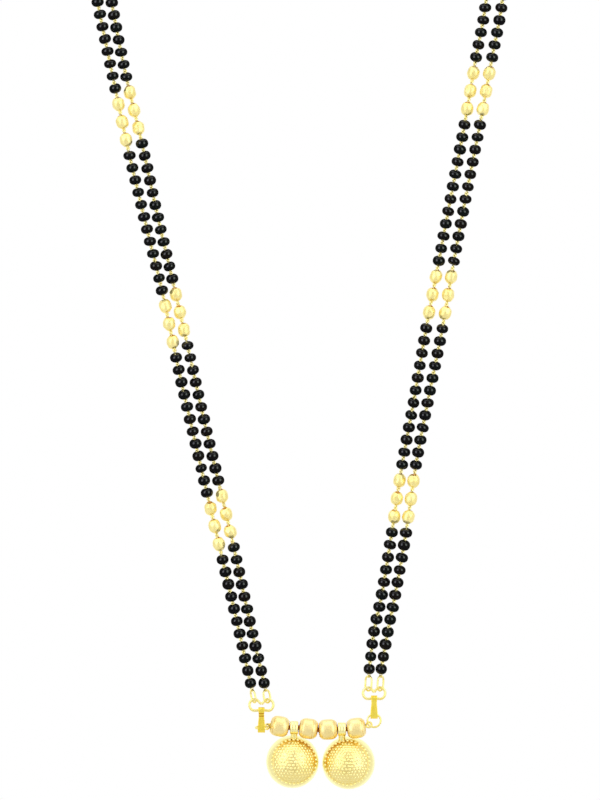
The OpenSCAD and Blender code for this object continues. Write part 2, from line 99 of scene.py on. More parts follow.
# where each half strand runs, from the bottom to beside the nape, and its place at the nape
POINTS = [
    [[-15.3, -81.5, -179], [-18.8, -81, -164], [-22.8, -80.5, -147], [-25.8, -80.5, -134],
     [-29.8, -80.5, -116.5], [-33.8, -80.5, -97.5], [-37.8, -80.5, -81], [-42.3, -80.5, -62],
     [-45.8, -80.5, -45.5], [-49.4, -80.5, -28], [-51.5, -79.5, -17], [-53.5, -73.5, -8],
     [-54.5, -62.5, -3], [-53, -46, -1.5], [-47.5, -29.5, -1.5], [-36.5, -14, -1.5],
     [-20, -3.5, -1.5]],
    [[-12, -81, -179.5], [-16, -80, -161], [-20, -79.5, -144], [-23.5, -79.5, -129],
     [-27.5, -79.5, -111], [-31.5, -79.5, -93.5], [-35, -79.5, -78.5], [-39, -79.5, -60],
     [-43, -79.5, -43], [-46, -79.5, -28], [-48, -78.5, -16], [-50, -73.5, -6],
     [-50.5, -62, 0], [-49, -46, 2], [-44, -30, 2], [-33.5, -15.5, 2], [-18.5, -5, 2]],
    [[19, -79.5, -182], [21, -79.5, -172.5], [23.5, -79.5, -157], [26, -79.5, -140.5],
     [29, -79.5, -124], [32, -79.5, -106.5], [35, -79.5, -90.5], [38, -79.5, -74.5],
     [41.5, -79.5, -56], [44.5, -79.5, -38.5], [46.5, -79.5, -28], [48, -78.5, -17],
     [50, -73.5, -6.5], [50.5, -62, 0], [49, -46, 2], [43.5, -30, 2], [33.5, -15.5, 2],
     [18.5, -5, 2]],
    [[22.5, -80.5, -181.5], [24.5, -80.5, -171.5], [27, -80.5, -157], [29.5, -80.5, -140],
     [32.5, -80.5, -124], [36, -80.5, -106.5], [39, -80.5, -89], [42, -80.5, -73],
     [45.5, -80.5, -55], [48.5, -80.5, -38.5], [50.5, -80.5, -28], [52, -79.5, -17.5],
     [54, -73.5, -8], [54.5, -62.5, -3], [53, -46, -1.5], [47.5, -29.5, -1.5],
     [36.5, -14, -1.5], [20, -3.5, -1.5]]]
NAPES = [[0, 0.7, -1.8], [0, -0.7, 1.8], [0, -0.7, 1.8], [0, 0.7, -1.8]]


def sloped(side, angle):
    return vec(side * cosd(angle), 0, sind(angle))


def sign(side):
    return -1 if side == 0 else 1


def inner_slope(side):
    return SLOPES[1 if side == 0 else 2]


def outer_slope(side):
    return SLOPES[0 if side == 0 else 3]


def inner_way(side):
    return sloped(sign(side), sign(side) * inner_slope(side))


def outer_way(side):
    return sloped(sign(side), sign(side) * outer_slope(side))


FACE_R = DRUM_FACE / 2


def gap_beside(slope):
    """Room for a drum bead's flat end, which leans by its slope, beside an upright face."""
    return BAR_GAP + FACE_R * abs(sind(slope))


MID_GAP = BAR_GAP + FACE_R * (abs(sind(SLOPES[1])) + abs(sind(SLOPES[2])))
inner_drum = [MIDDLE + (MID_GAP / 2 + DRUM_W / 2) * inner_way(s) for s in (0, 1)]
inner_bend = [MIDDLE + (MID_GAP / 2 + DRUM_W - BEND) * inner_way(s) for s in (0, 1)]
bail_place = [inner_bend[s] + vec(sign(s) * (BEND + gap_beside(inner_slope(s))
                                             + BAIL_W / 2), 0, 0) for s in (0, 1)]
outer_bend = [bail_place[s] + vec(sign(s) * (BAIL_W / 2 + gap_beside(outer_slope(s))
                                             + BEND), 0, 0) for s in (0, 1)]
outer_drum = [outer_bend[s] + (DRUM_W / 2 - BEND) * outer_way(s) for s in (0, 1)]
bar_end = [outer_bend[s] + (DRUM_W - BEND + END_BARE[s]) * outer_way(s) for s in (0, 1)]

RING_R = (END_RING_D - RING_D) / 2
left_eye = bar_end[0] + EYE_R * vec(-cosd(LEFT_EYE) * cosd(YAW), -cosd(LEFT_EYE) * sind(YAW),
                                    sind(LEFT_EYE))
right_eye = bar_end[1] + EYE_R * sloped(1, RIGHT_EYE)
left_ring = left_eye - RING_R * vec(cosd(YAW), sind(YAW) * cosd(LEVEL), sind(YAW) * sind(LEVEL))
right_ring = right_eye + RING_R * sloped(1, RIGHT_EYE)
LEAVE = math.degrees(math.asin((STRIP_FOOT / 2 + HOOK_SHIFT) / RING_R))
FOOT_BEND = RING_R - RING_R * cosd(LEAVE)
HOOK_RING_R = RING_R - FOOT_BEND / 2
hook_foot = [left_ring - vec(HOOK_SHIFT, 0, 0) - HOOK_RING_R * vec(0, cosd(LEVEL), sind(LEVEL)),
             right_ring + vec(0, 0, HOOK_RING_R)]
double_mid = [hook_foot[s] + vec(0, 0, STRIP_L[s] + WAIST_LOW) for s in (0, 1)]


def side_of(strand):
    return 0 if strand < 2 else 1


def lobe_sign(strand):
    return -1 if strand % 2 == 0 else 1


def strand_way(strand):
    """The way up along a strand ring, from the double ring to the strand."""
    s = side_of(strand)
    return vec(sign(s) * sind(LEANS[s]), 0, cosd(LEANS[s]))


RING_DROP = DOUBLE_D / 2 + RING_D / 2 + CLEAR + DOUBLE_D ** 2 / SRING_W / 5
ring_foot = [double_mid[side_of(k)] + lobe_sign(k) * LOBE_X[side_of(k)] * vec(1, 0, 0)
             + (LOBE_H - RING_DROP) * vec(0, 0, 1) for k in range(4)]
strand_eye = [ring_foot[k] + 2 * SRING_H[side_of(k)] * strand_way(k) for k in range(4)]
lowest = [strand_eye[k] + BEAD_RISE * strand_way(k) for k in range(4)]


def curve_point(a, b, c, d, t):
    """A point between b and c, at t from 0 to 1, on a curve that also heeds a and d."""
    return 0.5 * ((2 * b) + (c - a) * t + (2 * a - 5 * b + 4 * c - d) * t * t
                  + (3 * b - a - 3 * c + d) * t ** 3)


def smooth(points, steps):
    """A curve through all the points but the last, which only steers its end."""
    out = []
    for i in range(len(points) - 2):
        before = 2 * points[0] - points[1] if i == 0 else points[i - 1]
        for k in range(steps + (1 if i == len(points) - 3 else 0)):
            out.append(curve_point(before, points[i], points[i + 1], points[i + 2], k / steps))
    return np.array(out)


def smooth_loop(points, steps):
    """A closed curve through all the points."""
    p = np.asarray(points, float)
    n = len(p)
    return np.array([curve_point(p[i - 1], p[i], p[(i + 1) % n], p[(i + 2) % n], k / steps)
                     for i in range(n) for k in range(steps)])


def lengths_along(path):
    """The length of a path up to each of its points."""
    return np.concatenate([[0], np.cumsum(np.linalg.norm(np.diff(path, axis=0), axis=1))])


class Route:
    """A strand's curve from its lowest bead to the nape, by length."""

    def __init__(self, k):
        pts = [lowest[k]] + [np.array(p, float) for p in POINTS[k]] \
            + [np.array(NAPES[k], float), np.array(POINTS[3 - k][-1], float)]
        self.p = smooth(pts, 24)
        self.s = lengths_along(self.p)
        self.length = self.s[-1]

    def at(self, s):
        return np.array([np.interp(s, self.s, self.p[:, a]) for a in range(3)])

    def way(self, s):
        return unit(self.at(min(s + 0.5, self.length)) - self.at(max(s - 0.5, 0)))


routes = [Route(k) for k in range(4)]


# ---------------------------------------------------------------- mesh tools

PLAIN = 0.5     # the tone of open metal; recesses have a lower one, which paints shade into them


class Mesh:
    """Gathers many small shapes into one smooth mesh, with a tone for each point: in the gold a
    low tone paints shade, in the black glass it sets a bead's tint.
    """

    def __init__(self):
        self.verts, self.faces, self.mats, self.tones, self.count = [], [], [], [], 0

    def add(self, verts, faces, mat=0, tone=PLAIN):
        verts = np.asarray(verts, float)
        self.verts.append(verts)
        for f in faces:
            self.faces.append(tuple(int(i) + self.count for i in f))
        self.mats += [mat] * len(faces)
        self.tones.append(np.broadcast_to(np.asarray(tone, float), (len(verts),)))
        self.count += len(verts)

    def object(self, name, mats, body="necklace"):
        mesh = bpy.data.meshes.new(name)
        mesh.from_pydata((np.concatenate(self.verts) * MM).tolist(), [], self.faces)
        for m in mats:
            mesh.materials.append(m)
        mesh.polygons.foreach_set("material_index", self.mats)
        mesh.polygons.foreach_set("use_smooth", [True] * len(self.faces))
        tone = mesh.attributes.new("tone", "FLOAT", "POINT")
        tone.data.foreach_set("value", np.concatenate(self.tones).astype(np.float32))
        mesh.validate()
        mesh.update()
        obj = bpy.data.objects.new(name, mesh)
        bpy.context.scene.collection.objects.link(obj)
        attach(obj, body)
        return obj


def frame_of(way, ref=(0, -1, 0)):
    """Columns x, y, z with z along way and x towards ref."""
    z = unit(way)
    ref = np.asarray(ref, float)
    x = unit(ref - ref.dot(z) * z)
    return np.column_stack([x, np.cross(z, x), z])


def rot(axis, angle):
    return np.array(Matrix.Rotation(math.radians(angle), 3, Vector(axis)))


def round_angles(steps):
    return np.arange(steps) * 2 * math.pi / steps


def grid_faces(rows, sides, closed=False):
    """Quads between rings of points; closed joins the last ring to the first."""
    return [(i * sides + j, i * sides + (j + 1) % sides,
             ((i + 1) % rows) * sides + (j + 1) % sides, ((i + 1) % rows) * sides + j)
            for i in range(rows if closed else rows - 1) for j in range(sides)]


def end_faces(rows, sides):
    """The two faces that close the first and the last ring."""
    return [tuple(reversed(range(sides))), tuple((rows - 1) * sides + j for j in range(sides))]


def lathe(profile, sides, closed=False, cap=False):
    """Turns a profile of (radius, height) round Z; outside is on the right going up."""
    p = np.asarray(profile, float)
    a = round_angles(sides)
    v = np.stack([p[:, None, 0] * np.cos(a), p[:, None, 0] * np.sin(a),
                  np.repeat(p[:, 1:2], sides, 1)], -1).reshape(-1, 3)
    faces = grid_faces(len(p), sides, closed)
    if cap:
        faces += end_faces(len(p), sides)
    return v, faces


def sweep(path, radius, sides, closed=False, ref=None):
    """A round wire along a path, its frame carried from point to point."""
    p = np.asarray(path, float)
    n = len(p)
    r = np.broadcast_to(np.asarray(radius, float), (n,))
    if closed:
        ways = [unit(p[(i + 1) % n] - p[(i - 1) % n]) for i in range(n)]
    else:
        ways = [unit(p[min(i + 1, n - 1)] - p[max(i - 1, 0)]) for i in range(n)]
    if ref is None:
        ref = min(np.eye(3), key=lambda e: abs(e.dot(ways[0])))
    x = np.asarray(ref, float)
    a = round_angles(sides)
    verts = []
    for i in range(n):
        x = unit(x - x.dot(ways[i]) * ways[i])
        y = np.cross(ways[i], x)
        verts.append(p[i] + r[i] * (np.cos(a)[:, None] * x + np.sin(a)[:, None] * y))
    faces = grid_faces(n, sides, closed)
    if not closed:
        faces += end_faces(n, sides)
    return np.concatenate(verts), faces


def rounded_ends(path, radius, sides, ref):
    """A wire along a path whose cut ends are a little rounded."""
    p = np.asarray(path, float)
    d0, d1 = unit(p[1] - p[0]), unit(p[-1] - p[-2])
    e = 0.12 * radius
    p = np.concatenate([[p[0], p[0] + e * d0], p[1:-1], [p[-1] - e * d1, p[-1]]])
    r = np.full(len(p), radius)
    r[0] = r[-1] = 0.88 * radius
    return sweep(p, r, sides, ref=ref)


def torus_path(middle, u, v, radius, steps=16):
    """Points of a circle in the plane of u and v."""
    a = round_angles(steps)
    return middle + radius * (np.cos(a)[:, None] * u + np.sin(a)[:, None] * v)


# ---------------------------------------------------------------- materials
# Noise scales are per metre, and bump depths are in metres.

DRIFT, WEAR = 260, 900
GRAIN_DEPTH = 0.00004
STREAK_BUMP, STREAK_DEPTH = 0.25, 0.00003
GLASS_IOR, GLASS_ROUGH = 1.5, (0.05, 0.13)
GLASS_UNEVEN, GLASS_FINE = (0.10, 0.0002), (0.06, 0.00002)      # bump strength and depth

# painted shade: what the tone does to the metal's colour, from the deepest recess to open metal,
# darker and warmer where shade falls between the parts
SHADE_RAMP = [(0.0, (0.40, 0.15, 0.06, 1)), (0.12, (0.74, 0.46, 0.24, 1)),
          (0.28, (0.90, 0.76, 0.55, 1)), (PLAIN, (1, 1, 1, 1))]


def material(name):
    m = bpy.data.materials.new(name)
    m.use_nodes = True
    nt = m.node_tree
    return m, nt, nt.nodes["Principled BSDF"]


def noise(nt, scale, detail, rough, vector):
    n = nt.nodes.new("ShaderNodeTexNoise")
    n.inputs["Scale"].default_value = scale
    n.inputs["Detail"].default_value = detail
    n.inputs["Roughness"].default_value = rough
    nt.links.new(vector, n.inputs["Vector"])
    return n.outputs["Fac"]


def ramp(nt, source, stops):
    r = nt.nodes.new("ShaderNodeValToRGB")
    r.color_ramp.elements[0].position, r.color_ramp.elements[0].color = stops[0]
    r.color_ramp.elements[1].position, r.color_ramp.elements[1].color = stops[-1]
    for pos, col in stops[1:-1]:
        r.color_ramp.elements.new(pos).color = col
    nt.links.new(source, r.inputs["Fac"])
    return r.outputs["Color"]


def bump(nt, bsdf, height, strength, distance, normal=None):
    b = nt.nodes.new("ShaderNodeBump")
    b.inputs["Strength"].default_value = strength
    b.inputs["Distance"].default_value = distance
    nt.links.new(height, b.inputs["Height"])
    if normal is not None:
        nt.links.new(normal, b.inputs["Normal"])
    nt.links.new(b.outputs["Normal"], bsdf.inputs["Normal"])
    return b.outputs["Normal"]


def place_in(nt):
    return nt.nodes.new("ShaderNodeTexCoord").outputs["Object"]


def tone_in(nt):
    tone = nt.nodes.new("ShaderNodeAttribute")
    tone.attribute_name = "tone"
    return tone.outputs["Fac"]


def grey(v):
    return (v, v, v, 1)


def gold(name, light, deep, rough, rough_spread, grain, grain_bump, streak=None, shade_recesses=True,
         drift=DRIFT):
    """A gold finish: the colour drifts over millimetres, fine grain breaks up the gloss.
    Streak is the scale of fine lines along each axis. When recesses are shaded, the metal takes
    painted shade, darker and warmer where the mesh's tone is low."""
    m, nt, bsdf = material(name)
    coord = place_in(nt)
    colour = ramp(nt, noise(nt, drift, 3, 0.55, coord), [(0.3, deep), (0.72, light)])
    # painted shade: a low tone multiplies the colour darker and warmer
    if shade_recesses:
        recess_shade = ramp(nt, tone_in(nt), SHADE_RAMP)
        mix = nt.nodes.new("ShaderNodeMix")
        mix.data_type = "RGBA"
        mix.blend_type = "MULTIPLY"
        mix.inputs[0].default_value = 1.0
        nt.links.new(colour, mix.inputs[6])
        nt.links.new(recess_shade, mix.inputs[7])
        colour = mix.outputs[2]
    nt.links.new(colour, bsdf.inputs["Base Color"])
    bsdf.inputs["Metallic"].default_value = 1.0
    gloss = ramp(nt, noise(nt, WEAR, 4, 0.6, coord),
                 [(0.3, grey(rough)), (0.75, grey(rough + rough_spread))])
    nt.links.new(gloss, bsdf.inputs["Roughness"])
    normal = bump(nt, bsdf, noise(nt, grain, 4, 0.6, coord), grain_bump, GRAIN_DEPTH)
    if streak:
        mapping = nt.nodes.new("ShaderNodeMapping")
        mapping.inputs["Scale"].default_value = streak
        nt.links.new(coord, mapping.inputs["Vector"])
        lines = noise(nt, 1.0, 4, 0.65, mapping.outputs["Vector"])
        bump(nt, bsdf, lines, STREAK_BUMP, STREAK_DEPTH, normal)
    return m


polished = gold("polished_gold", (1.0, 0.92, 0.45, 1), (0.97, 0.86, 0.35, 1), 0.20, 0.14,
                5200, 0.22)
satin = gold("satin_gold", (0.98, 0.82, 0.40, 1), (0.95, 0.76, 0.31, 1), 0.36, 0.12,
             7000, 0.3, streak=(9000, 700, 700))
cut_gold = gold("cut_gold", (0.99, 0.87, 0.40, 1), (0.95, 0.80, 0.29, 1), 0.36, 0.12,
                6500, 0.12, drift=520)
wire_gold = gold("wire_gold", (0.99, 0.89, 0.44, 1), (0.94, 0.78, 0.20, 1), 0.20, 0.14,
                 4200, 0.2, streak=(1500, 1500, 300), drift=700)
strip_gold = gold("strip_gold", (1.0, 0.83, 0.14, 1), (0.95, 0.72, 0.07, 1), 0.26, 0.14,
                  5200, 0.2, streak=(2600, 2600, 260), drift=420)
link_brass = gold("link_brass", (0.99, 0.92, 0.50, 1), (0.95, 0.85, 0.38, 1), 0.24, 0.14,
                  5200, 0.2, shade_recesses=False)


def black_glass():
    """Pressed black glass: slightly uneven, some beads a touch browner or greener."""
    m, nt, bsdf = material("black_glass")
    coord = place_in(nt)
    colour = ramp(nt, tone_in(nt), [(0.0, (0.006, 0.004, 0.003, 1)),
                                    (0.5, (0.003, 0.003, 0.004, 1)),
                                    (1.0, (0.003, 0.005, 0.004, 1))])
    nt.links.new(colour, bsdf.inputs["Base Color"])
    smoothest, roughest = GLASS_ROUGH
    gloss = ramp(nt, noise(nt, 700, 3, 0.55, coord),
                 [(0.3, grey(smoothest)), (0.75, grey(roughest))])
    nt.links.new(gloss, bsdf.inputs["Roughness"])
    bsdf.inputs["IOR"].default_value = GLASS_IOR
    uneven = noise(nt, 620, 2, 0.5, coord)
    fine = noise(nt, 4200, 3, 0.6, coord)
    normal = bump(nt, bsdf, uneven, *GLASS_UNEVEN)
    bump(nt, bsdf, fine, *GLASS_FINE, normal)
    return m


glass = black_glass()


# ---------------------------------------------------------------- strands of beads

BORE_R = 0.44                                   # of a black bead
# how much a black bead's width and height vary, and their limits; all but the lowest two
# of a half strand are wider by WIDEN
WIDE_SPREAD, WIDE_SPAN, WIDEN = 0.014, (0.97, 1.02), 1.05
TALL_SPREAD, TALL_SPAN = 0.05, (0.88, 1.12)
FLATTEN, FLATTEN_OVER = 0.09, 170               # share of the height, and over what length
BLACK_TIP, GOLD_TIP = (13, 6.5), (15, 6)        # a bead's tip on its wire, and its spread
SIDE_TIP = 5
BLACK_HOLD, GOLD_HOLD = 0.5, 1.2                # half of the wire's straight run in a bead
LINK_R, LINK_W, LINK_C = 0.40, 0.175, 0.18      # a loop's radius, wire and shift
LAST_EYE_R, LAST_EYE_W, LAST_EYE_RISE, LAST_STEM_W = 0.44, 0.12, 0.06, 0.11


def bead_profile(outer, length):
    """Closed cross-section of a round-shouldered bead, flattened a little round its bore."""
    tall = length / 2
    out = []
    for a in np.linspace(-68, 68, 15):
        out.append((outer * cosd(a) ** 0.80, 1.03 * tall * math.copysign(abs(sind(a)) ** 0.92, a)))
    r, z = out[-1]
    for q, e in ((0.55, 0.0), (0.15, -0.10), (0.0, -0.30)):
        out.append((BORE_R + (r - BORE_R) * q, z + 0.02 + e))
    out += [(p[0], -p[1]) for p in reversed(out[-3:])]
    return out


def places(k):
    """Kind and length along half strand k of each bead, up to the nape."""
    out = []
    start = 0.0
    for run in range(RUNS):
        beads = SHORT_RUN if k == 0 and run == 0 else RUN
        if run == RUNS - 1:
            left = routes[k].length - start
            count = max(1, round(left / PITCH + 0.5))
            pitch = left / (count - 0.5)
            out += [("black", start + i * pitch) for i in range(count)]
        else:
            out += [("black", start + i * PITCH) for i in range(beads)]
            end = start + (beads - 1) * PITCH
            out += [("gold", end + JOIN + i * GOLD_PITCH) for i in range(GROUP)]
            start += (beads - 1) * PITCH + 2 * JOIN + (GROUP - 1) * GOLD_PITCH
    return out


def link(mesh, low, high, turn):
    """Two small loops hooked into each other between two beads, with their stems."""
    d = unit(high - low)
    mid = (low + high) / 2
    u = frame_of(d) @ rot((0, 0, 1), turn)
    for end, side_way, other in ((-1, u[:, 0], low), (1, u[:, 1], high)):
        c = mid + end * LINK_C * d
        mesh.add(*sweep(torus_path(c, d, side_way, LINK_R), LINK_W, 7, closed=True,
                        ref=np.cross(d, side_way)))
        start = c + end * LINK_R * d
        mesh.add(*sweep([start - 0.05 * end * d, other], LINK_W, 7))


def gold_cuts():
    """A diamond-cut bead: an oval with broad flat cuts in three uneven rows, bored through."""
    cuts = []
    for rise, tilt, reach in ((-46, 8, 0.93), (0, 6, 0.95), (46, 8, 0.93)):
        for n in range(6):
            a = 60 * n + (30 if rise else 0) + rng.normal(0, 6)
            e = rise + rng.normal(0, tilt)
            cuts.append((cosd(e) * cosd(a), cosd(e) * sind(a), sind(e),
                         min(reach + rng.normal(0, 0.02), 0.98)))
    cuts = np.array(cuts)
    sides = 44
    a = round_angles(sides)
    e = np.radians(np.linspace(-70, 70, 27))
    u = np.stack([np.cos(e)[:, None] * np.cos(a), np.cos(e)[:, None] * np.sin(a),
                  np.sin(e)[:, None] * np.ones(sides)], -1).reshape(-1, 3)
    facing = u @ cuts[:, :3].T
    reach = np.where(facing > 0.2, cuts[:, 3] / np.maximum(facing, 0.2), 9).min(1)
    v = u * np.minimum(1, reach)[:, None]
    blunt = 1 + 0.22 * v[:, 2] ** 2
    v = v * np.column_stack([blunt, blunt, np.ones(len(v))])
    v = v * vec(0.52 * GOLD_D, 0.52 * GOLD_D, 0.50 * GOLD_L)
    bore = [(0.50, 1.60), (0.38, 1.3), (0.38, -1.3), (0.50, -1.60)]
    v = np.concatenate([v] + [np.column_stack([r * np.cos(a), r * np.sin(a), np.full(sides, z)])
                              for r, z in bore])
    rows = len(e) + len(bore)
    # painted shade: darker round both ends of the bead and darkest in the bore
    tone = np.full((rows, sides), 0.6)
    tone[[0, len(e) - 1]] = 0.3
    tone[len(e):] = 0.1
    return v, grid_faces(rows, sides, closed=True), tone.ravel()


def within(value, span):
    return min(max(value, span[0]), span[1])


def tipped(way, tip, spread):
    """The frame of a bead on its wire: tipped to one side, and turned at random."""
    f = frame_of(way)
    f = rot(f[:, 1], tip + rng.normal(0, spread)) @ f
    f = rot(f[:, 0], rng.normal(0, SIDE_TIP)) @ f
    return f @ rot((0, 0, 1), rng.uniform(0, 360))


def black_bead(mesh, number, s, place, way):
    wide = 1 + rng.normal(0, WIDE_SPREAD)
    tall = 1 + rng.normal(0, TALL_SPREAD)
    # the lowest beads of a side sit closest together, so they are a little narrower
    wide = (1.0 if number < 2 else WIDEN) * within(wide, WIDE_SPAN)
    # the beads are flatter towards the neck
    tall = within(tall, TALL_SPAN) * (1 - FLATTEN * min(s / FLATTEN_OVER, 1))
    f = tipped(way, *BLACK_TIP)
    v, faces = lathe(bead_profile(BEAD_D / 2 * wide, BEAD_L * tall), 26, closed=True)
    # outside the bore, a bead is a little oval
    a = np.arctan2(v[:, 1], v[:, 0])
    squeeze = 1 - 0.018 * (1 + np.cos(2 * a)) * (np.hypot(v[:, 0], v[:, 1]) > 0.6)
    v = v * np.column_stack([squeeze, squeeze, np.ones(len(v))])
    mesh.add(v @ f.T + place, faces, tone=rng.uniform(0, 1))


def gold_bead(mesh, place, way):
    v, faces, tone = gold_cuts()
    f = tipped(way, *GOLD_TIP)
    mesh.add(v @ f.T + place, faces, tone=tone)


def strand_ring_frame(k):
    side = side_of(k)
    return rot((0, 1, 0), sign(side) * LEANS[side]) @ rot((0, 0, 1), lobe_sign(k) * TURNS[k])


def strand(k):
    """Half a strand, from its eye to the nape; gives back the object of its black beads."""
    beads, golds, links = Mesh(), Mesh(), Mesh()
    ends = []
    for number, (kind, s) in enumerate(places(k)):
        place, way = routes[k].at(s), routes[k].way(s)
        if kind == "black":
            black_bead(beads, number, s, place, way)
            half = BLACK_HOLD
        else:
            gold_bead(golds, place, way)
            half = GOLD_HOLD
        ends.append((place - half * way, place + half * way))
    for i in range(len(ends) - 1):
        links.add(*sweep(ends[i], LINK_W, 7))
        link(links, ends[i][1], ends[i + 1][0], rng.uniform(20, 70))
    links.add(*sweep(ends[-1], LINK_W, 7))
    if k < 2:
        # the link across the nape, to the other half of the strand
        other = routes[3 - k]
        s = places(3 - k)[-1][1]
        link(links, ends[-1][1], other.at(s) + BLACK_HOLD * other.way(s), 45)
    # the eye that hooks the strand ring
    way = strand_way(k)
    across = strand_ring_frame(k) @ vec(0, 1, 0)
    c = strand_eye[k] + LAST_EYE_RISE * way
    links.add(*sweep(torus_path(c, way, across, LAST_EYE_R, 20), LAST_EYE_W, 9, closed=True,
                     ref=np.cross(way, across)))
    links.add(*sweep([c + 0.42 * way, ends[0][0]], LAST_STEM_W, 8))
    b = beads.object("black_beads_" + NAMES[k], [glass])
    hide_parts("strand_" + NAMES[k])
    w = links.object("wire_links_" + NAMES[k], [link_brass])
    g = golds.object("cut_beads_" + NAMES[k], [cut_gold])
    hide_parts("gold_beads_" + NAMES[k])
    return b


dark = [strand(k) for k in range(4)]


# ---------------------------------------------------------------- vatis

DOT_PITCH, ROW_STEP = 0.92, 0.866       # a row's step is a share of the pitch
DOT_LIFT, DOT_FLOOR = 0.13, 0.1         # height of the dots, depth of the metal between them
DOTS_END = 54                           # degrees from a dome's middle


def dot_grid():
    """Places of the raised dots on a dome, as unit ways from its middle (dome towards -Y)."""
    out = []
    pitch = DOT_PITCH / VATI_R
    limit = math.radians(GRAIN_ANGLE) - (GRAIN_D / 2 + 0.36) / VATI_R
    rows = int(limit / (pitch * ROW_STEP)) + 2
    for j in range(-rows, rows + 1):
        for i in range(-rows - 2, rows + 3):
            x = (i + 0.5 * (j % 2)) * pitch + rng.normal(0, 0.06) / VATI_R
            z = j * pitch * ROW_STEP + rng.normal(0, 0.05) / VATI_R
            t = math.hypot(x, z)
            if t < limit:
                a = math.atan2(z, x)
                out.append((math.sin(t) * math.cos(a), -math.cos(t), math.sin(t) * math.sin(a)))
    return np.array(out)


DOTS = dot_grid()
DOT_R = rng.uniform(0.27, 0.35, len(DOTS))


def dome(inward):
    """The outer face: raised dots inside the ring of grains, a smooth band outside."""
    sides = 360
    rings = np.concatenate([np.linspace(0.4, 53, 84), np.linspace(DOTS_END, 90, 26)])
    t = np.radians(rings)
    a = round_angles(sides)
    ways = np.stack([np.sin(t)[:, None] * np.cos(a), -np.cos(t)[:, None] * np.ones(sides),
                     np.sin(t)[:, None] * np.sin(a)], -1).reshape(-1, 3)
    degrees = np.repeat(rings, sides)
    inner = degrees < DOTS_END
    lift = np.zeros(len(ways))
    cosines = ways[inner] @ DOTS.T
    near = VATI_R * np.arccos(np.clip(cosines.max(1), -1, 1))
    r = DOT_R[cosines.argmax(1)]
    lift[inner] = np.where(near < r, DOT_LIFT * np.clip(1 - (near / r) ** 2, 0, 1) ** 0.8, 0)
    step = np.clip((degrees - 51.5) / 3, 0, 1)
    verts = ways * (VATI_R - DOT_FLOOR * (1 - step) + lift)[:, None]
    # painted shade: the metal darkens between the dots, and more under the grains on the side by
    # the other dome, as if shaded by it
    tone = np.where(inner, 0.37 + 1.1 * lift, PLAIN)
    shade = 0.5 + 0.5 * (np.cos(np.tile(a, len(rings)) - inward))
    ring = np.exp(-((degrees - GRAIN_ANGLE + 1) / 4.5) ** 2)
    tone = tone - ring * (0.06 + 0.38 * shade ** 1.5)
    verts = np.concatenate([verts, [[0, -(VATI_R - DOT_FLOOR + lift[0]), 0]]])
    top = len(verts) - 1
    faces = grid_faces(len(rings), sides) + [(top, (j + 1) % sides, j) for j in range(sides)]
    return verts, faces, np.clip(np.append(tone, PLAIN), 0, 1)


def bail_profile():
    """Closed cross-section of a bail, with three grooves, and the tone of each of its points:
    dark at the hub of each end, painted shade where the bail meets the drum beads."""
    end = BAIL_W / 2
    prof = [(0.66, -end + 0.05), (0.72, -end - 0.04), (1.28, -end - 0.03)]
    for q in np.linspace(-1, 1, 37):
        soft = 0.16 * max(0, (abs(q) - 0.84) / 0.16) ** 2
        groove = 0.06 * max(0, math.cos(3 * math.pi * q)) ** 3 * (abs(q) < 0.7)
        prof.append((BAIL_D / 2 - soft - groove, q * BAIL_W / 2))
    prof += [(1.28, end + 0.03), (0.72, end + 0.04), (0.66, end - 0.05)]
    return prof, [0.0, 0.0, 0.05] + [PLAIN] * (len(prof) - 6) + [0.05, 0.0, 0.0]


